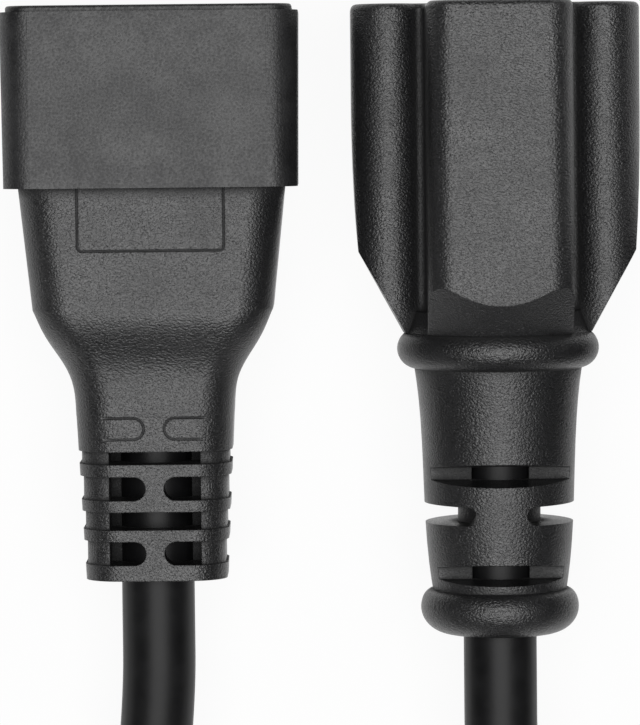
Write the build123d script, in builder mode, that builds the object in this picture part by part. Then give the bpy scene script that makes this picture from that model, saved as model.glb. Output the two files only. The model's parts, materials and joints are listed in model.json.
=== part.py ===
from build123d import *
import math
import os

# Y splitter power cord: one moulded plug, a trunk cord, a moulded junction, and two legs with an outlet each.
# It lies on z = 0. +Y points the way the plug and the outlets face, +X is across.
# The origin is under the middle of the box round the plug, the outlets and the junction.

os.makedirs("parts", exist_ok=True)

# Cord and conductors
cord_diameter = 7.7
wire_radius = 1.2
wire_bend = 2.4
wire_straight = 2.0
wire_circle = 1.6
arc_share = 0.45
overshoot = 1.0

# Plug shroud, a hard sleeve round three flat pins
shroud_width = 30.9
shroud_height = 21.6
shroud_length = 18.85
shroud_corner = 3.2
shroud_draft = 0.6
rim_step = 0.65
rim_depth = 0.65
rim_round = 0.3
slide_line_x = 12.25
slide_line_width = 0.25
slide_line_depth = 0.15
cavity_width = 24.8
cavity_height = 16.6
cavity_depth = 17.0
cavity_chamfer = 3.6
cavity_round = 1.0
base_width = 24.0
base_height = 14.5
base_depth = 24.0

# Plug pins
pin_height = 4.0
pin_thickness = 2.0
pin_spread = 14.0
pin_row_y = 2.0
earth_row_gap = 4.0
pin_recess = 2.4
earth_pin_lead = 1.0
pin_tip_chamfer = 0.6
barrel_radius = 1.6
barrel_length = 4.0

# Plug moulding, its places given as shares of its length
plug_length = 60.0
plug_jacket_start = plug_length * 2 / 3
plug_body_end = 0.5267 * plug_length
plug_neck_start = 0.7167 * plug_length
plug_body_half_width = 13.9
plug_waist_half_width = 12.55
plug_neck_half_width = 8.25
plug_end_half_width = 7.42
plug_body_half_height = 9.3
plug_neck_half_height = 6.85
plug_end_half_height = 6.5
plug_corner = 4.0
plug_end_corner = 3.8

# Shoulder between body and neck: how far along each section is, how far narrowed and how far lowered
shoulder_profile = ((0.123, 0.14, 0.08), (0.298, 0.372, 0.408), (0.518, 0.733, 0.837), (0.737, 0.942, 0.971))

# Label panel, a plain field inside a thin groove
panel_width = 15.4
panel_end = 0.425 * plug_length
panel_corner = 0.6
fine_groove = 0.25
fine_groove_depth = 0.2

# Plug strain relief rows: distance of each from the tip, and size along the cord
blind_row = 0.7333 * plug_length
slot_rows = (0.8383 * plug_length, 0.9517 * plug_length)
groove_rows = ((0.785 * plug_length, 1.35), (0.895 * plug_length, 1.9))
slot_width = 2.5
slot_inner_end = 0.95
slot_reach = 12.0
window_half_width = 4.8
web_recess = 1.0
web_side_recess = 0.3
web_corner = 3.0
mid_web = 2.0

# Outlet body, a clover section: two side lobes and a taller earth lobe, its places as shares of its length
outlet_length = 66.2
outlet_width = 30.3
outlet_half_height = 13.0
side_lobe_width = 7.85
side_lobe_height = 15.5
earth_lobe_width = 15.0
earth_lobe_corner = 2.7
valley_round = 0.6
outlet_straight = 0.151 * outlet_length
outlet_waist_s = 0.3958 * outlet_length
outlet_waist_width = 29.1
cone_start = 0.2568 * outlet_length
cone_half_width = 19.45
cone_half_height = 24.25
pinch_s = 0.5196 * outlet_length
pinch_half_width = 9.95
pinch_half_height = 10.5
face_round = 0.6

# Outlet collar, neck and strain relief, turned about the cord
collar_root_s = 0.4864 * outlet_length
collar_root_radius = 8.8
collar_start_radius = 9.7
collar_s = 0.5453 * outlet_length
collar_radius = 10.6
collar_end_s = 0.577 * outlet_length
collar_end_radius = 8.8
neck_s = 0.722 * outlet_length
neck_radius = 8.02
lower_s = 0.8233 * outlet_length
lower_radius = 7.77
relief_end_s = 0.929 * outlet_length
relief_end_radius = 7.05
flange_s = 0.9577 * outlet_length
flange_radius = 8.32
outlet_end_radius = 5.2
outlet_jacket_start = 0.6344 * outlet_length

# Outlet strain relief openings
front_slot_rows = (0.7417 * outlet_length, 0.8995 * outlet_length)
front_slot_width = 2.4
front_slot_draft = 0.24
front_slot_floor = 3.3
front_window_half_width = 3.0
side_notch_s = 0.8059 * outlet_length
side_notch_mouth = 2.3
side_notch_foot = 1.95
side_notch_inner = 2.6
sleeve_wall = 0.5

# Outlet contacts
blade_spread = 12.7
line_slot_height = 7.2
neutral_slot_height = 8.8
blade_slot_width = 2.2
blade_row_y = -6.0
earth_row_y = 5.9
earth_hole_radius = 2.65
block_width = 22.0
block_height = 11.0
block_corner = 1.5
block_earth_radius = 5.2
block_length = 0.39275 * outlet_length
face_wall = 1.8
chamber_width = 5.2
chamber_height = 9.6
chamber_depth = block_length - 8.0
leaf_thickness = 0.9
leaf_height = 6.4
leaf_lead = 0.4
leaf_gap = 1.6
contact_slack = 0.2
earth_sleeve_wall = 0.7
earth_sleeve_bore = 2.45

# Junction, its places given as shares of its length
junction_length = 40.0
junction_width = 22.0
junction_thickness = 14.0
conductor_room = 22.0
junction_grip = (junction_length - conductor_room) / 2
junction_front = ((0.0, 0.0, 0.0, 5.3), (0.125, 0.5, 0.3, 5.3), (0.225, 2.7, 1.0, 5.6))
junction_shoulder = 0.325
junction_back = 0.7
junction_taper = (0.85, 0.4, 0.6, 5.8)
junction_corner = 6.0
junction_end_corner = 5.5
leg_pitch = 9.5
trunk_neck_size = 11.0
leg_neck_width = 20.0
leg_neck_height = 11.4
core_width = 9.0
core_height = 10.4
core_length = 12.0
core_corner = 1.0
splice_width = 5.2
splice_height = 2.6
splice_pitch = 3.0
splice_length = 8.0
splice_edge = 0.1
wire_stack_pitch = 2.42

# Places
plug_to_outlet_1 = 36.1
outlet_1_to_outlet_2 = 39.15
tip_to_junction_end = 164.0
outlet_2_setback = 24.0
plug_to_junction = 5.0

cord_radius = cord_diameter / 2
spread = shroud_width / 2 + plug_to_outlet_1 + outlet_1_to_outlet_2 + outlet_width / 2
plug_x = shroud_width / 2 - spread / 2
outlet_1_x = plug_x + plug_to_outlet_1
outlet_2_x = outlet_1_x + outlet_1_to_outlet_2
tip_y = tip_to_junction_end / 2
outlet_2_tip_y = tip_y - outlet_2_setback
plug_z = shroud_height / 2
outlet_z = outlet_half_height
junction_z = junction_thickness / 2
junction_x = plug_x - plug_to_junction
junction_y = junction_length - tip_y


def head_plane(x, y, z):
    """Plane at a mating face: local x across, local y up, local z back along the cord."""
    return Plane(origin=(x, y, z), x_dir=(1, 0, 0), z_dir=(0, -1, 0))


def top_view(at):
    """Plane through the axis, seen from above: local x back along the cord, local y across."""
    return Plane(origin=at.origin, x_dir=at.z_dir, z_dir=at.y_dir)


def side_view(at):
    """Plane through the axis, seen from the side: local x back along the cord, local y up."""
    return Plane(origin=at.origin, x_dir=at.z_dir, z_dir=-at.x_dir)


def finish(piece, name):
    """Name a finished piece and write it."""
    piece.label = name
    export_step(piece, f"parts/{name}.step")
    return piece


def round_run(at, radius, start, end, x=0.0, y=0.0, mode=Mode.SUBTRACT):
    """In the part being built: a round run along the cord, by default the room for something round."""
    with BuildSketch(at.offset(start)) as section:
        with Locations((x, y)):
            Circle(radius)
    extrude(section.sketch, amount=end - start, mode=mode)


def wire(at, start, end):
    """Insulated conductor, straight at both ends with an easy bend between."""
    x0, y0, s0 = start
    x1, y1, s1 = end
    if (x0, y0) == (x1, y1):
        with BuildPart() as conductor:
            round_run(at, wire_radius, s0, s1, x0, y0, mode=Mode.ADD)
        return conductor.part
    stops = [(x0, y0, s0), (x0, y0, s0 + wire_straight), (x1, y1, s1 - wire_straight), (x1, y1, s1)]
    with BuildPart() as conductor:
        with BuildLine() as path:
            FilletPolyline(*[at.from_local_coords(stop) for stop in stops], radius=wire_bend)
        with BuildSketch(Plane(origin=path.line @ 0, z_dir=path.line % 0)):
            Circle(wire_radius)
        sweep(path=path.line)
    return conductor.part


def wire_places(earth_up):
    """Where the three conductors stand in the cord's end, with the earth one at the top or the bottom."""
    up = 1 if earth_up else -1
    drop = -up * wire_circle / 2
    side = wire_circle * math.cos(math.radians(30))
    line_side = side if earth_up else -side
    return {"line": (line_side, drop), "neutral": (-line_side, drop), "earth": (0.0, up * wire_circle)}


def plug_pin_places():
    """Across and up for each flat pin: the earth pin stands on the chamfered side."""
    half = pin_spread / 2
    return {"line": (-half, pin_row_y), "neutral": (half, pin_row_y), "earth": (0.0, pin_row_y - earth_row_gap)}


def plug_pin(at, x, y, tip):
    """Flat pin with a chamfered tip and a round crimp barrel behind the base."""
    with BuildPart() as pin:
        with BuildSketch(at.offset(tip)):
            with Locations((x, y)):
                Rectangle(pin_thickness, pin_height)
        extrude(amount=base_depth - tip)
        chamfer(pin.faces().sort_by(Axis.Y)[-1].edges(), pin_tip_chamfer)
        with BuildSketch(at.offset(base_depth)):
            with Locations((x, y)):
                Circle(barrel_radius)
        extrude(amount=barrel_length)
    return pin.part


def plug_shroud(at, pins):
    """Hard sleeve with a stepped rim, a cavity with two chamfered corners, and the pin base."""
    with BuildPart() as shroud:
        with BuildSketch(at.offset(rim_depth)):
            RectangleRounded(shroud_width, shroud_height, shroud_corner)
        extrude(amount=shroud_length - rim_depth, taper=shroud_draft)
        with BuildSketch(at):
            RectangleRounded(shroud_width - 2 * rim_step, shroud_height - 2 * rim_step, shroud_corner - rim_step)
        extrude(amount=rim_depth)
        fillet(shroud.faces().sort_by(Axis.Y)[-1].edges(), rim_round)
        with BuildSketch(at.offset(shroud_length)):
            RectangleRounded(base_width, base_height, shroud_corner - rim_step)
        extrude(amount=base_depth - shroud_length)
        with BuildSketch(at) as mouth:
            Rectangle(cavity_width, cavity_height)
            chamfer(mouth.vertices().group_by(Axis.Y)[0], cavity_chamfer)
            fillet(mouth.vertices(), cavity_round)
        extrude(amount=cavity_depth, mode=Mode.SUBTRACT)
        with BuildSketch(at.offset(rim_depth)):
            for level in (-1, 1):
                edge_y = level * shroud_height / 2
                with Locations((-slide_line_x, edge_y), (slide_line_x, edge_y)):
                    Rectangle(slide_line_width, 2 * slide_line_depth)
        extrude(amount=shroud_length, mode=Mode.SUBTRACT)
        for pin in pins:
            add(pin, mode=Mode.SUBTRACT)
    return shroud.part


def plug_sections():
    """Distance from the tip, half width, half height and corner radius along the plug's moulding."""
    waist = (plug_body_end, plug_waist_half_width, plug_body_half_height, plug_corner)
    neck = (plug_neck_start, plug_neck_half_width, plug_neck_half_height, plug_corner)
    steps = [
        (
            plug_body_end + along * (plug_neck_start - plug_body_end),
            plug_waist_half_width - narrowed * (plug_waist_half_width - plug_neck_half_width),
            plug_body_half_height - lowered * (plug_body_half_height - plug_neck_half_height),
            plug_corner,
        )
        for along, narrowed, lowered in shoulder_profile
    ]
    straight = [(shroud_length, plug_body_half_width, plug_body_half_height, plug_corner), waist]
    neck_run = [neck, (plug_length, plug_end_half_width, plug_end_half_height, plug_end_corner)]
    return straight, [waist, *steps, neck], neck_run


def plug_half_width(s):
    """Half width of the plug's neck at a distance from the tip."""
    share = (s - plug_neck_start) / (plug_length - plug_neck_start)
    return plug_neck_half_width + share * (plug_end_half_width - plug_neck_half_width)


def slot_pair(s, width, inner, reach):
    """In the sketch being drawn, seen from above: two slots side by side, each with a round inner end."""
    for side in (-1, 1):
        with Locations((s, side * (inner + reach / 2))):
            SlotOverall(reach, width, rotation=90)


def full_groove(s, width):
    """In the sketch being drawn, seen from above: a groove right across."""
    with Locations((s, 0)):
        Rectangle(width, 2 * slot_reach)


def relief_rows():
    """The plug's open rows: distance from the tip, and width of a full groove, or nothing for paired slots."""
    return [(s, 0.0) for s in slot_rows] + list(groove_rows)


def row_outline(s, groove_width):
    """In the sketch being drawn: the outline of one row."""
    if groove_width:
        full_groove(s, groove_width)
    else:
        slot_pair(s, slot_width, slot_inner_end, slot_reach)


def row_side_cut(at, s, groove_width):
    """What a row takes out of the neck all round, down to the recessed webs."""
    half_width = plug_half_width(s) - web_side_recess
    half_height = plug_neck_half_height - web_recess
    with BuildPart() as cut:
        with BuildSketch(top_view(at)):
            row_outline(s, groove_width)
        extrude(amount=slot_reach, both=True)
        with BuildSketch(at.offset(s - slot_width)):
            RectangleRounded(2 * half_width, 2 * half_height, web_corner)
        extrude(amount=2 * slot_width, mode=Mode.SUBTRACT)
    return cut.part


def row_window(at, s, groove_width):
    """What a row takes out over and under the cord, between the webs."""
    with BuildPart() as window:
        with BuildSketch(top_view(at)):
            row_outline(s, groove_width)
        extrude(amount=slot_reach, both=True)
        with BuildSketch(at.offset(s - slot_width)):
            for level in (-1, 1):
                with Locations((0, level * (mid_web / 2 + slot_reach / 2))):
                    Rectangle(2 * window_half_width, slot_reach)
        extrude(amount=2 * slot_width, mode=Mode.INTERSECT)
    return window.part


def plug_overmould(at, held):
    """Soft body that narrows to a flat-topped strain relief with three rows of slots and two grooves."""
    cuts = []
    for s, groove_width in relief_rows():
        cuts.append(row_side_cut(at, s, groove_width))
        cuts.append(row_window(at, s, groove_width))
    with BuildPart() as overmould:
        for run in plug_sections():
            for s, half_width, half_height, corner in run:
                with BuildSketch(at.offset(s)):
                    RectangleRounded(2 * half_width, 2 * half_height, corner)
            loft(ruled=len(run) == 2)
        with BuildSketch(top_view(at).offset(plug_body_half_height - fine_groove_depth)):
            with Locations((panel_end / 2, 0)):
                RectangleRounded(panel_end, panel_width, panel_corner)
                RectangleRounded(panel_end - 2 * fine_groove, panel_width - 2 * fine_groove,
                                 panel_corner - fine_groove, mode=Mode.SUBTRACT)
        extrude(amount=slot_reach, mode=Mode.SUBTRACT)
        for level in (-1, 1):
            with BuildSketch(top_view(at).offset(level * (plug_neck_half_height - fine_groove_depth))):
                slot_pair(blind_row, slot_width, slot_inner_end, slot_reach)
                for side in (-1, 1):
                    with Locations((blind_row, side * (slot_inner_end + fine_groove + slot_reach / 2))):
                        SlotOverall(slot_reach, slot_width - 2 * fine_groove, rotation=90, mode=Mode.SUBTRACT)
            extrude(amount=level * slot_reach, mode=Mode.SUBTRACT)
        for piece in (*cuts, *held):
            add(piece, mode=Mode.SUBTRACT)
        round_run(at, cord_radius, plug_jacket_start, plug_length + overshoot)
    return overmould.part


def make_plug():
    """The plug's pieces."""
    at = head_plane(plug_x, tip_y, plug_z)
    pins = {}
    wires = {}
    for name, (x, y) in plug_pin_places().items():
        lead = earth_pin_lead if name == "earth" else 0.0
        pins[name] = finish(plug_pin(at, x, y, pin_recess - lead), f"plug_{name}_pin")
        end_x, end_y = wire_places(earth_up=False)[name]
        start = (x, y, base_depth + barrel_length)
        wires[name] = finish(wire(at, start, (end_x, end_y, plug_jacket_start)), f"plug_{name}_wire")
    shroud = finish(plug_shroud(at, pins.values()), "plug_shroud")
    held = [shroud, *pins.values(), *wires.values()]
    finish(plug_overmould(at, held), "plug_overmould")


def clover(at):
    """The outlet's section: two side lobes, the base between them and the taller earth lobe."""
    lobe_x = (outlet_width - side_lobe_width) / 2
    lobe_y = side_lobe_height / 2 - outlet_half_height
    valley = earth_lobe_width / 2
    with BuildSketch(at) as outline:
        with Locations((-lobe_x, lobe_y), (lobe_x, lobe_y)):
            SlotOverall(side_lobe_height, side_lobe_width, rotation=90)
        with Locations((0, lobe_y - side_lobe_width / 4)):
            Rectangle(2 * lobe_x, side_lobe_height - side_lobe_width / 2)
        RectangleRounded(earth_lobe_width, 2 * outlet_half_height, earth_lobe_corner)
        corners = [v for v in outline.vertices() if abs(abs(v.X) - valley) < 0.05 and abs(v.Y) < lobe_x / 2]
        fillet(corners, valley_round)
    return outline.sketch


def cone_envelope(at):
    """Straight at the face, then an oval cone that closes towards the collar."""
    with BuildPart() as envelope:
        with BuildSketch(at.offset(-overshoot)):
            Rectangle(2 * outlet_width, 2 * outlet_width)
        extrude(amount=cone_start + overshoot)
        with BuildSketch(at.offset(cone_start)):
            Ellipse(cone_half_width, cone_half_height)
        with BuildSketch(at.offset(pinch_s)):
            Ellipse(pinch_half_width, pinch_half_height)
        loft(ruled=True)
    return envelope.part


def outlet_body(at):
    """Clover body, a little narrower towards its waist, closed by the oval cone."""
    half_width = outlet_width / 2
    waist = outlet_waist_width / 2
    flare = 2 * (half_width - waist) / (outlet_waist_s - outlet_straight)
    pinch_side = waist - flare * (pinch_s - outlet_waist_s)
    envelope = cone_envelope(at)
    with BuildPart() as body:
        extrude(clover(at), amount=pinch_s)
        fillet(body.faces().sort_by(Axis.Y)[-1].edges(), face_round)
        with BuildSketch(top_view(at)):
            with BuildLine():
                Line((-overshoot, 0), (-overshoot, half_width))
                Line((-overshoot, half_width), (outlet_straight, half_width))
                TangentArc((outlet_straight, half_width), (outlet_waist_s, waist), tangent=(1, 0))
                Line((outlet_waist_s, waist), (pinch_s, pinch_side))
                Line((pinch_s, pinch_side), (pinch_s, 0))
                mirror(about=Plane.XZ)
            make_face()
        extrude(amount=2 * outlet_half_height, both=True, mode=Mode.INTERSECT)
        add(envelope, mode=Mode.INTERSECT)
    return body.part


def front_slot(at, s, level):
    """Slot across the front or back of the relief with drafted walls, deeper over the cord."""
    reach = outlet_half_height
    floor = front_slot_floor
    mouth = (front_slot_width + front_slot_draft * (reach - neck_radius)) / 2
    foot = (front_slot_width - front_slot_draft * (neck_radius - floor)) / 2
    with BuildPart() as cut:
        with BuildSketch(side_view(at)):
            with BuildLine():
                Polyline((s - mouth, level * reach), (s + mouth, level * reach),
                         (s + foot, level * floor), (s - foot, level * floor), close=True)
            make_face()
        extrude(amount=reach, both=True)
        with BuildSketch(side_view(at)):
            with Locations((s, level * (floor + mid_web / 2) / 2)):
                Rectangle(2 * foot, floor - mid_web / 2)
        extrude(amount=front_window_half_width, both=True)
    return cut.part


def side_notches(at):
    """Notch from each side, wider at its mouth, open from front to back but for a sleeve round the cord."""
    reach = outlet_half_height
    mouth = side_notch_mouth / 2
    foot = side_notch_foot / 2
    foot_x = side_notch_inner + foot
    with BuildPart() as cut:
        with BuildSketch(top_view(at)):
            for side in (-1, 1):
                with BuildLine():
                    Polyline((side_notch_s - mouth, side * reach), (side_notch_s + mouth, side * reach),
                             (side_notch_s + foot, side * foot_x), (side_notch_s - foot, side * foot_x),
                             close=True)
                make_face()
                with Locations((side_notch_s, side * foot_x)):
                    Circle(foot)
        extrude(amount=reach, both=True)
        round_run(at, cord_radius + sleeve_wall, neck_s, relief_end_s)
    return cut.part


def block_outline(at):
    """Outline of the hard insert: a bar for the two blades and a round head for the earth hole."""
    with BuildSketch(at) as outline:
        with Locations((0, blade_row_y)):
            RectangleRounded(block_width, block_height, block_corner)
        with Locations((0, earth_row_y)):
            Circle(block_earth_radius)
        with Locations((0, (earth_row_y + blade_row_y) / 2)):
            Rectangle(2 * block_earth_radius, earth_row_y - blade_row_y)
    return outline.sketch


def outlet_overmould(at, wires):
    """Clover body, collar, slotted strain relief and end flange in one moulding."""
    body = outlet_body(at)
    cuts = [front_slot(at, s, level) for s in front_slot_rows for level in (-1, 1)]
    cuts.append(side_notches(at))
    with BuildPart() as overmould:
        add(body)
        with BuildSketch(top_view(at)):
            with BuildLine():
                Line((collar_root_s, 0), (collar_root_s, collar_root_radius))
                Line((collar_root_s, collar_root_radius), (pinch_s, collar_start_radius))
                ThreePointArc((pinch_s, collar_start_radius), (collar_s, collar_radius),
                              (collar_end_s, collar_end_radius))
                Spline((collar_end_s, collar_end_radius), (neck_s, neck_radius), (lower_s, lower_radius),
                       (relief_end_s, relief_end_radius))
                EllipticalCenterArc((flange_s, relief_end_radius), flange_s - relief_end_s,
                                    flange_radius - relief_end_radius, start_angle=90, arc_size=90)
                EllipticalCenterArc((flange_s, outlet_end_radius), outlet_length - flange_s,
                                    flange_radius - outlet_end_radius, start_angle=0, arc_size=90)
                Line((outlet_length, outlet_end_radius), (outlet_length, 0))
                Line((outlet_length, 0), (collar_root_s, 0))
            make_face()
        revolve(axis=Axis(at.origin, at.z_dir))
        for piece in (*cuts, *wires):
            add(piece, mode=Mode.SUBTRACT)
        extrude(block_outline(at), amount=block_length, mode=Mode.SUBTRACT)
        round_run(at, cord_radius, outlet_jacket_start, outlet_length + overshoot)
    return overmould.part


def blade_places():
    """Across, up and slot height for the two blade slots."""
    half = blade_spread / 2
    return {"line": (half, line_slot_height), "neutral": (-half, neutral_slot_height)}


def contact_block(at):
    """Hard insert behind the face: two blade slots and an earth hole, each with a wider chamber behind."""
    with BuildPart() as block:
        extrude(block_outline(at), amount=block_length)
        for x, height in blade_places().values():
            with BuildSketch(at):
                with Locations((x, blade_row_y)):
                    Rectangle(blade_slot_width, height)
            extrude(amount=face_wall, mode=Mode.SUBTRACT)
            with BuildSketch(at.offset(face_wall)):
                with Locations((x, blade_row_y)):
                    Rectangle(chamber_width, chamber_height)
            extrude(amount=chamber_depth - face_wall, mode=Mode.SUBTRACT)
            round_run(at, barrel_radius, chamber_depth, block_length, x, blade_row_y)
        sleeve_room = earth_sleeve_bore + earth_sleeve_wall + contact_slack
        round_run(at, earth_hole_radius, 0, face_wall, 0, earth_row_y)
        round_run(at, sleeve_room, face_wall, chamber_depth, 0, earth_row_y)
        round_run(at, barrel_radius, chamber_depth, block_length, 0, earth_row_y)
    return block.part


def blade_contact(at, x):
    """Folded spring contact: two leaves joined at the back, and a crimp barrel."""
    start = face_wall + leaf_lead
    with BuildPart() as contact:
        with BuildSketch(at.offset(start)):
            with Locations((x, blade_row_y)):
                Rectangle(leaf_gap + 2 * leaf_thickness, leaf_height)
        extrude(amount=chamber_depth - start)
        with BuildSketch(at.offset(start)):
            with Locations((x, blade_row_y)):
                Rectangle(leaf_gap, leaf_height)
        extrude(amount=chamber_depth - start - leaf_thickness, mode=Mode.SUBTRACT)
        with BuildSketch(at.offset(chamber_depth)):
            with Locations((x, blade_row_y)):
                Circle(barrel_radius)
        extrude(amount=block_length - chamber_depth)
    return contact.part


def earth_contact(at):
    """Round sleeve contact with a closed back and a crimp barrel."""
    start = face_wall + leaf_lead
    with BuildPart() as contact:
        with BuildSketch(at.offset(start)):
            with Locations((0, earth_row_y)):
                Circle(earth_sleeve_bore + earth_sleeve_wall)
        extrude(amount=chamber_depth - start)
        with BuildSketch(at.offset(start)):
            with Locations((0, earth_row_y)):
                Circle(earth_sleeve_bore)
        extrude(amount=chamber_depth - start - leaf_thickness, mode=Mode.SUBTRACT)
        with BuildSketch(at.offset(chamber_depth)):
            with Locations((0, earth_row_y)):
                Circle(barrel_radius)
        extrude(amount=block_length - chamber_depth)
    return contact.part


def make_outlet(name, x, y):
    """One outlet's pieces."""
    at = head_plane(x, y, outlet_z)
    line_x = blade_spread / 2
    finish(blade_contact(at, line_x), f"{name}_line_contact")
    finish(blade_contact(at, -line_x), f"{name}_neutral_contact")
    finish(earth_contact(at), f"{name}_earth_contact")
    starts = {"line": (line_x, blade_row_y), "neutral": (-line_x, blade_row_y), "earth": (0.0, earth_row_y)}
    wires = {}
    for core, (start_x, start_y) in starts.items():
        end_x, end_y = wire_places(earth_up=True)[core]
        run = wire(at, (start_x, start_y, block_length), (end_x, end_y, outlet_jacket_start))
        wires[core] = finish(run, f"{name}_{core}_wire")
    finish(contact_block(at), f"{name}_contact_block")
    finish(outlet_overmould(at, wires.values()), f"{name}_overmould")


def junction_sections():
    """Distance from the trunk end, half width, half height and corner radius along the junction."""
    half_width = junction_width / 2
    half_height = junction_thickness / 2
    trunk_neck = trunk_neck_size / 2
    legs_neck = leg_neck_width / 2
    legs_rise = leg_neck_height / 2
    shoulder = (junction_shoulder * junction_length, half_width, half_height, junction_corner)
    back = (junction_back * junction_length, half_width, half_height, junction_corner)
    rise = [
        (share * junction_length, trunk_neck + wider, trunk_neck + higher, corner)
        for share, wider, higher, corner in junction_front
    ]
    share, narrower, lower, corner = junction_taper
    taper = (share * junction_length, half_width - narrower, half_height - lower, corner)
    end = (junction_length, legs_neck, legs_rise, junction_end_corner)
    return [*rise, shoulder], [shoulder, back], [back, taper, end]


def junction_levels():
    """The three conductors stand one above another in the junction: line, neutral, earth."""
    return {"line": 1, "neutral": 0, "earth": -1}


def make_junction():
    """The junction's pieces: two jackets side by side at one end and one at the other."""
    at = head_plane(junction_x, junction_y, junction_z)
    core_start = (junction_length - core_length) / 2
    splice_start = (junction_length - splice_length) / 2
    splice_end = splice_start + splice_length
    legs_start = junction_length - junction_grip
    splices = []
    wires = []
    for name, level in junction_levels().items():
        splice_y = level * splice_pitch
        cord_y = level * wire_stack_pitch
        with BuildPart() as splice:
            with BuildSketch(at.offset(splice_start)):
                with Locations((0, splice_y)):
                    RectangleRounded(splice_width, splice_height, splice_height / 2 - splice_edge)
            extrude(amount=splice_length)
        splices.append(finish(splice.part, f"junction_{name}_splice"))
        trunk_wire = wire(at, (0, cord_y, junction_grip), (0, splice_y, splice_start))
        wires.append(finish(trunk_wire, f"trunk_{name}_wire"))
        for leg, side in (("leg_1", 1), ("leg_2", -1)):
            start = (side * splice_width / 4, splice_y, splice_end)
            run = wire(at, start, (side * leg_pitch / 2, cord_y, legs_start))
            wires.append(finish(run, f"{leg}_{name}_wire"))
    with BuildPart() as core:
        with BuildSketch(at.offset(core_start)):
            RectangleRounded(core_width, core_height, core_corner)
        extrude(amount=core_length)
        for piece in (*splices, *wires):
            add(piece, mode=Mode.SUBTRACT)
    finish(core.part, "junction_core")
    with BuildPart() as overmould:
        for run in junction_sections():
            for s, half_width, half_height, corner in run:
                with BuildSketch(at.offset(s)):
                    RectangleRounded(2 * half_width, 2 * half_height, corner)
            loft(ruled=len(run) == 2)
        round_run(at, cord_radius, -overshoot, junction_grip)
        for side in (-1, 1):
            round_run(at, cord_radius, legs_start, junction_length + overshoot, side * leg_pitch / 2)
        for piece in (core.part, *splices, *wires):
            add(piece, mode=Mode.SUBTRACT)
    finish(overmould.part, "junction_overmould")


def cord(route, name):
    """Round cord along straight runs joined by arcs as large as the runs allow."""
    radii = []
    for before, corner, after in zip(route, route[1:], route[2:]):
        run_in = Vector(*corner) - Vector(*before)
        run_out = Vector(*after) - Vector(*corner)
        half_turn = math.radians(run_in.get_angle(run_out)) / 2
        radii.append(arc_share * min(run_in.length, run_out.length) / math.tan(half_turn))
    with BuildPart() as tube:
        with BuildLine() as path:
            FilletPolyline(*route, radius=radii)
        with BuildSketch(Plane(origin=path.line @ 0, z_dir=path.line % 0)):
            Circle(cord_radius)
        sweep(path=path.line)
    length = sum(edge.length for edge in path.edges())
    share = tube.part.volume / (math.pi * cord_radius ** 2 * length)
    print(name, "arc radii", [round(radius, 1) for radius in radii])
    print(name, "length", round(length, 1), "volume over section times length", round(share, 4))
    return finish(tube.part, name)


def make_cords():
    """The trunk and the two legs: inside the mouldings they are straight, outside they lie down on the floor."""
    leg_x = leg_pitch / 2
    floor_z = cord_radius
    legs_jacket_y = junction_y - junction_length + junction_grip
    cord([
        (plug_x, tip_y - plug_jacket_start, plug_z),
        (plug_x, 5.6, plug_z),
        (junction_x, -31.0, junction_z),
        (junction_x, junction_y - junction_grip, junction_z),
    ], "trunk_cord")
    cord([
        (outlet_1_x, tip_y - outlet_jacket_start, outlet_z),
        (outlet_1_x, -8.1, outlet_z),
        (24.5, -49.5, 6.5),
        (44.9, -77.0, floor_z),
        (47.5, -99.6, floor_z),
        (39.4, -120.0, floor_z),
        (22.7, -133.9, floor_z),
        (1.4, -137.5, floor_z),
        (-18.7, -130.6, floor_z),
        (-32.6, -114.5, floor_z),
        (junction_x + leg_x, -93.6, junction_z),
        (junction_x + leg_x, legs_jacket_y, junction_z),
    ], "leg_1_cord")
    cord([
        (outlet_2_x, outlet_2_tip_y - outlet_jacket_start, outlet_z),
        (outlet_2_x, -32.0, outlet_z),
        (53.2, -78.0, 5.0),
        (58.4, -103.8, floor_z),
        (50.0, -127.5, floor_z),
        (30.2, -143.6, floor_z),
        (5.2, -147.6, floor_z),
        (-18.5, -141.4, floor_z),
        (-36.7, -123.6, floor_z),
        (junction_x - leg_x, -98.6, junction_z),
        (junction_x - leg_x, legs_jacket_y, junction_z),
    ], "leg_2_cord")


make_plug()
make_outlet("outlet_1", outlet_1_x, tip_y)
make_outlet("outlet_2", outlet_2_x, outlet_2_tip_y)
make_junction()
make_cords()
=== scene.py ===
"""Y splitter power cord: finishes, cords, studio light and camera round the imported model."""
import json
import math

import bpy
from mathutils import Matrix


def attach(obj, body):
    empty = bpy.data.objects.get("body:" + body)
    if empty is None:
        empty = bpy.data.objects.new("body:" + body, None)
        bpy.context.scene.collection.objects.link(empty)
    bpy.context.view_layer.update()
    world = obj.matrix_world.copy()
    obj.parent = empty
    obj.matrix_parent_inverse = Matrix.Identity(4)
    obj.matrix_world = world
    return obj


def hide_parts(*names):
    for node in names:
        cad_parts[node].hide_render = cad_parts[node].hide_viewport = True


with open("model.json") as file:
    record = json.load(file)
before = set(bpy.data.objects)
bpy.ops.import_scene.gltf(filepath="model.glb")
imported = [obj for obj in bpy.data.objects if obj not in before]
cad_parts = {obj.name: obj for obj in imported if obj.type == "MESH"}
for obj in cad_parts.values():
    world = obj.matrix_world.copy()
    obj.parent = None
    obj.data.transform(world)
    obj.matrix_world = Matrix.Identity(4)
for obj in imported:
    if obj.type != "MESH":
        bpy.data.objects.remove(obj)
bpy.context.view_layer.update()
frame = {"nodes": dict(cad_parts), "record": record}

MM = 0.001
CORD_DIAMETER = 7.7 * MM

# Light level: a sheet of white paper on the floor renders just under white.
SOFTBOX_SIDE = 0.85
SOFTBOX_HEIGHT = 0.9
SOFTBOX_RADIANCE = 3.9
ROOM_LEVEL = 0.08

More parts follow.
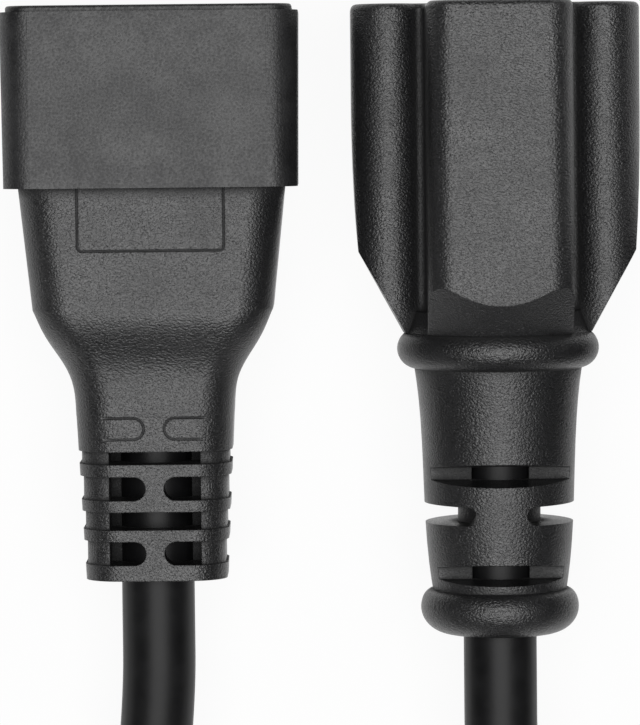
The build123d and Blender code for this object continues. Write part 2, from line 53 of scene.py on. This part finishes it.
# Camera: it stands above the plug's mouth and looks down, a little towards the cords.
IMAGE_HEIGHT = 725
CAMERA_HEIGHT = 0.450
CAMERA_TILT = -3.34
CAMERA_ROLL = -0.6
SENSOR = 36
PIXELS_PER_MM = 9.53
TOP_FACES = 0.014
SIGHT_LINE = (CAMERA_HEIGHT - TOP_FACES) / MM / math.cos(math.radians(CAMERA_TILT))
LENS = PIXELS_PER_MM * SIGHT_LINE * SENSOR / IMAGE_HEIGHT


def linear(code):
    """The linear colour of an sRGB hex value such as 5a5a5a."""
    channels = [int(code[i:i + 2], 16) / 255 for i in (0, 2, 4)]
    return [c / 12.92 if c <= 0.04045 else ((c + 0.055) / 1.055) ** 2.4 for c in channels] + [1]


def per_mm(size):
    """The texture scale at which one grain is size millimetres wide."""
    return 1 / (size * MM)


def add(tree, kind, inputs=None, **settings):
    """A new node with its settings, its input values and its incoming links."""
    node = tree.nodes.new(kind)
    for name, value in settings.items():
        setattr(node, name, value)
    for name, value in (inputs or {}).items():
        if isinstance(value, bpy.types.NodeSocket):
            tree.links.new(value, node.inputs[name])
        else:
            node.inputs[name].default_value = value
    return node


def new_material(name, **surface):
    """A material with its tree, its surface node and object coordinates to hang patterns on."""
    material = bpy.data.materials.new(name)
    material.use_nodes = True
    tree = material.node_tree
    shader = tree.nodes["Principled BSDF"]
    for socket, value in surface.items():
        shader.inputs[socket.replace("_", " ")].default_value = value
    place = add(tree, "ShaderNodeTexCoord").outputs["Object"]
    return material, tree, shader, place


def ramp(tree, factor, stops):
    """A colour ramp through the given positions and hex colours."""
    node = add(tree, "ShaderNodeValToRGB", {"Fac": factor})
    low, high = node.color_ramp.elements
    low.position, low.color = stops[0][0], linear(stops[0][1])
    high.position, high.color = stops[-1][0], linear(stops[-1][1])
    for position, code in stops[1:-1]:
        node.color_ramp.elements.new(position).color = linear(code)
    return node.outputs["Color"]


def grained_pvc():
    """Flexible PVC moulded in a grained tool: wrinkles a fifth of a millimetre wide catch the light. Painted
    shade darkens its colour in slots, grooves and other hollows, which are also made rougher.
    """
    material, tree, shader, place = new_material("grained flexible PVC", IOR=1.62)
    along = add(tree, "ShaderNodeMapping", {"Vector": place, "Scale": (0.8, 1, 1),
                                            "Rotation": (0, 0, math.radians(20))}).outputs["Vector"]
    wrinkle = add(tree, "ShaderNodeTexNoise", {"Vector": along, "Scale": per_mm(0.2), "Detail": 2,
                                               "Roughness": 0.5, "Distortion": 0.3}).outputs["Fac"]
    cloud = add(tree, "ShaderNodeTexNoise", {"Vector": place, "Scale": per_mm(6), "Detail": 2})
    # Painted shade: ambient occlusion darkens the grain's colour in slots and grooves and raises the roughness
    # there.
    open_sky = add(tree, "ShaderNodeAmbientOcclusion", {"Distance": 1.5 * MM}, samples=8).outputs["AO"]
    grain_and_painted_shade = add(tree, "ShaderNodeMath", {0: wrinkle, 1: open_sky}, operation="MULTIPLY").outputs[0]
    tree.links.new(ramp(tree, grain_and_painted_shade, [(0.3, "131314"), (0.7, "242425")]), shader.inputs["Base Color"])
    gloss = add(tree, "ShaderNodeMath", {0: cloud.outputs["Fac"], 1: wrinkle}, operation="ADD").outputs[0]
    rough = add(tree, "ShaderNodeMapRange", {"Value": gloss, "From Min": 0.7, "From Max": 1.3,
                                             "To Min": 0.27, "To Max": 0.41})
    dull = add(tree, "ShaderNodeMapRange", {"Value": open_sky, "From Min": 0.4, "From Max": 0.95,
                                            "To Min": 0.5, "To Max": 0}).outputs["Result"]
    rough = add(tree, "ShaderNodeMath", {0: rough.outputs["Result"], 1: dull}, operation="ADD").outputs[0]
    tree.links.new(rough, shader.inputs["Roughness"])
    edge = add(tree, "ShaderNodeBevel", {"Radius": 0.15 * MM}, samples=4)
    relief = add(tree, "ShaderNodeBump", {"Height": wrinkle, "Strength": 0.9, "Distance": 0.12 * MM,
                                          "Normal": edge.outputs["Normal"]})
    tree.links.new(relief.outputs["Normal"], shader.inputs["Normal"])
    return material


def hard_plastic(name, dark, light, roughness, waviness):
    """Hard plastic from a smooth tool: satin, with soft flow marks a few millimetres wide."""
    material, tree, shader, place = new_material(name, IOR=1.55)
    flow = add(tree, "ShaderNodeTexNoise", {"Vector": place, "Scale": per_mm(4), "Detail": 4})
    fine = add(tree, "ShaderNodeTexNoise", {"Vector": place, "Scale": per_mm(0.25), "Detail": 1})
    tree.links.new(ramp(tree, flow.outputs["Fac"], [(0.35, dark), (0.65, light)]), shader.inputs["Base Color"])
    mottle = add(tree, "ShaderNodeMath", {0: flow.outputs["Fac"], 1: fine.outputs["Fac"]}, operation="ADD")
    rough = add(tree, "ShaderNodeMapRange", {"Value": mottle.outputs[0], "From Min": 0.7, "From Max": 1.3,
                                             "To Min": roughness - 0.1, "To Max": roughness + 0.1})
    tree.links.new(rough.outputs["Result"], shader.inputs["Roughness"])
    relief = add(tree, "ShaderNodeBump", {"Height": fine.outputs["Fac"], "Strength": waviness,
                                          "Distance": 0.05 * MM})
    tree.links.new(relief.outputs["Normal"], shader.inputs["Normal"])
    return material


def smooth_jacket(name, dark, light, roughness):
    """Extruded PVC: smooth and satin, with a faint waver in its gloss."""
    material, tree, shader, place = new_material(name, IOR=1.53, Specular_IOR_Level=0.22)
    waver = add(tree, "ShaderNodeTexNoise", {"Vector": place, "Scale": per_mm(2.5), "Detail": 3})
    tree.links.new(ramp(tree, waver.outputs["Fac"], [(0.35, dark), (0.65, light)]), shader.inputs["Base Color"])
    rough = add(tree, "ShaderNodeMapRange", {"Value": waver.outputs["Fac"], "To Min": roughness - 0.05,
                                             "To Max": roughness + 0.05})
    tree.links.new(rough.outputs["Result"], shader.inputs["Roughness"])
    relief = add(tree, "ShaderNodeBump", {"Height": waver.outputs["Fac"], "Strength": 0.25,
                                          "Distance": 0.1 * MM})
    tree.links.new(relief.outputs["Normal"], shader.inputs["Normal"])
    return material


def plated_metal(name, dark, light, roughness):
    """Stamped and plated sheet: fine scratches a few hundredths apart, drawn coarser so that they show."""
    material, tree, shader, place = new_material(name, Metallic=1)
    streak = add(tree, "ShaderNodeMapping", {"Vector": place, "Scale": (1, 0.05, 1)})
    scratch = add(tree, "ShaderNodeTexNoise", {"Vector": streak.outputs["Vector"], "Scale": per_mm(0.25),
                                               "Detail": 3})
    tree.links.new(ramp(tree, scratch.outputs["Fac"], [(0.35, dark), (0.65, light)]),
                   shader.inputs["Base Color"])
    rough = add(tree, "ShaderNodeMapRange", {"Value": scratch.outputs["Fac"], "To Min": roughness - 0.06,
                                             "To Max": roughness + 0.08})
    tree.links.new(rough.outputs["Result"], shader.inputs["Roughness"])
    relief = add(tree, "ShaderNodeBump", {"Height": scratch.outputs["Fac"], "Strength": 0.2,
                                          "Distance": 0.02 * MM})
    tree.links.new(relief.outputs["Normal"], shader.inputs["Normal"])
    return material


def lay_cord(name, points, node, material, **facts):
    """A round cord on a smooth line through the route's points, in place of the plain tube."""
    curve = bpy.data.curves.new(name, "CURVE")
    curve.dimensions = "3D"
    curve.bevel_depth = CORD_DIAMETER / 2
    curve.bevel_resolution = 8
    curve.resolution_u = 20
    curve.use_fill_caps = True
    spline = curve.splines.new("NURBS")
    spline.points.add(len(points) - 1)
    for point, place in zip(spline.points, points):
        point.co = (*place, 1)
    spline.order_u = 3
    spline.use_endpoint_u = True
    curve.materials.append(material)
    cord = bpy.data.objects.new(name, curve)
    bpy.context.scene.collection.objects.link(cord)
    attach(cord, "root")
    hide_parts(node)
    return cord


FINISHES = {
    "shroud_plastic": hard_plastic("glass-filled nylon", "19191a", "262627", 0.47, 1.0),
    "overmould_pvc": grained_pvc(),
    "cord_jacket": smooth_jacket("extruded PVC jacket", "0f0f10", "171718", 0.44),
    "insert_plastic": hard_plastic("moulded nylon", "202021", "2a2a2b", 0.38, 0.3),
    "pin_metal": plated_metal("nickel-plated brass", "a39d92", "c4beb2", 0.24),
    "contact_brass": plated_metal("phosphor bronze", "a9783e", "d2a25c", 0.3),
    "splice_metal": plated_metal("tinned copper", "9a9a98", "c2c2bf", 0.34),
    "wire_black": smooth_jacket("black PVC insulation", "161616", "1e1e1e", 0.4),
    "wire_white": smooth_jacket("white PVC insulation", "d6d4cc", "e4e2da", 0.4),
    "wire_green": smooth_jacket("green PVC insulation", "1d6b33", "26803f", 0.4),
}

for part in frame["record"]["subparts"]:
    node = frame["nodes"][part["node"]]
    node.data.materials.clear()
    node.data.materials.append(FINISHES[part["material_slot"]])

TRUNK = [
    (-0.037475, 0.042, 0.0108), (-0.037475, 0.0216, 0.0108), (-0.037475, 0.0056, 0.0108),
    (-0.042475, -0.031, 0.007), (-0.042475, -0.051, 0.007),
]
LEG_1 = [
    (-0.001375, 0.040, 0.013), (-0.001375, 0.0215, 0.013), (-0.001375, -0.0081, 0.013),
    (0.0245, -0.0495, 0.0065),
    (0.0449, -0.077, 0.00385), (0.0475, -0.0996, 0.00385), (0.0394, -0.120, 0.00385),
    (0.0227, -0.1339, 0.00385), (0.0014, -0.1375, 0.00385), (-0.0187, -0.1306, 0.00385),
    (-0.0326, -0.1145, 0.00385), (-0.037725, -0.0936, 0.007), (-0.037725, -0.073, 0.007),
]
LEG_2 = [
    (-0.047225, -0.073, 0.007), (-0.047225, -0.0986, 0.007), (-0.0367, -0.1236, 0.00385),
    (-0.0185, -0.1414, 0.00385), (0.0052, -0.1476, 0.00385), (0.0302, -0.1436, 0.00385),
    (0.050, -0.1275, 0.00385), (0.0584, -0.1038, 0.00385), (0.0532, -0.078, 0.005),
    (0.037775, -0.032, 0.013), (0.037775, 0.016, 0.013),
]
outlet_2 = [frame["nodes"][name] for name in sorted(frame["nodes"]) if name.startswith("outlet_2_")]
lay_cord("trunk_cable", TRUNK, "trunk_cord", FINISHES["cord_jacket"],
         exit=(-0.037475, 0.022, 0.0108), length=0.0933, far_end="object")
lay_cord("leg_1_cable", LEG_1, "leg_1_cord", FINISHES["cord_jacket"],
         exit=(-0.001375, 0.0158, 0.013), length=0.2995, far_end="object")
lay_cord("leg_2_cable", LEG_2, "leg_2_cord", FINISHES["cord_jacket"],
         exit=(-0.047225, -0.082, 0.007), length=0.298, far_end="connector", with_pieces=outlet_2)


def white_floor():
    """Matt white board. It is nearly white by itself where it is seen, and still takes a soft shadow."""
    material, tree, shader, _ = new_material("white board", Roughness=0.9)
    shader.inputs["Base Color"].default_value = linear("f2f2f2")
    shader.inputs["Specular IOR Level"].default_value = 0
    ray = add(tree, "ShaderNodeLightPath")
    seen = ray.outputs["Is Camera Ray"]
    for kind in ("Is Glossy Ray", "Is Transmission Ray"):
        seen = add(tree, "ShaderNodeMath", {0: seen, 1: ray.outputs[kind]}, operation="MAXIMUM").outputs[0]
    share = add(tree, "ShaderNodeMath", {0: seen, 1: 0.92}, operation="MULTIPLY").outputs[0]
    glow = add(tree, "ShaderNodeEmission", {"Strength": 1.0}).outputs["Emission"]
    mix = add(tree, "ShaderNodeMixShader", {"Fac": share, 1: shader.outputs["BSDF"], 2: glow})
    tree.links.new(mix.outputs["Shader"], tree.nodes["Material Output"].inputs["Surface"])
    return material


bpy.ops.mesh.primitive_grid_add(x_subdivisions=2, y_subdivisions=2, size=8, location=(0, 0, 0))
floor = bpy.context.object
floor.name = "floor"
floor.data.materials.append(white_floor())

world = bpy.data.worlds.new("studio")
world.use_nodes = True
world.node_tree.nodes["Background"].inputs["Color"].default_value = (1, 1, 1, 1)
world.node_tree.nodes["Background"].inputs["Strength"].default_value = ROOM_LEVEL
bpy.context.scene.world = world

softbox = bpy.data.lights.new("overhead softbox", "AREA")
softbox.shape = "SQUARE"
softbox.size = SOFTBOX_SIDE
softbox.energy = SOFTBOX_RADIANCE * math.pi * SOFTBOX_SIDE ** 2
lamp = bpy.data.objects.new("overhead softbox", softbox)
lamp.location = (0, -0.04, SOFTBOX_HEIGHT)
bpy.context.scene.collection.objects.link(lamp)

camera_data = bpy.data.cameras.new("camera")
camera_data.lens = LENS
camera = bpy.data.objects.new("camera", camera_data)
camera.location = (-0.01983, 0.06998, CAMERA_HEIGHT)
camera.rotation_euler = (math.radians(CAMERA_TILT), 0, math.radians(CAMERA_ROLL))
bpy.context.scene.collection.objects.link(camera)
bpy.context.scene.camera = camera

bpy.context.scene.view_settings.view_transform = "Standard"
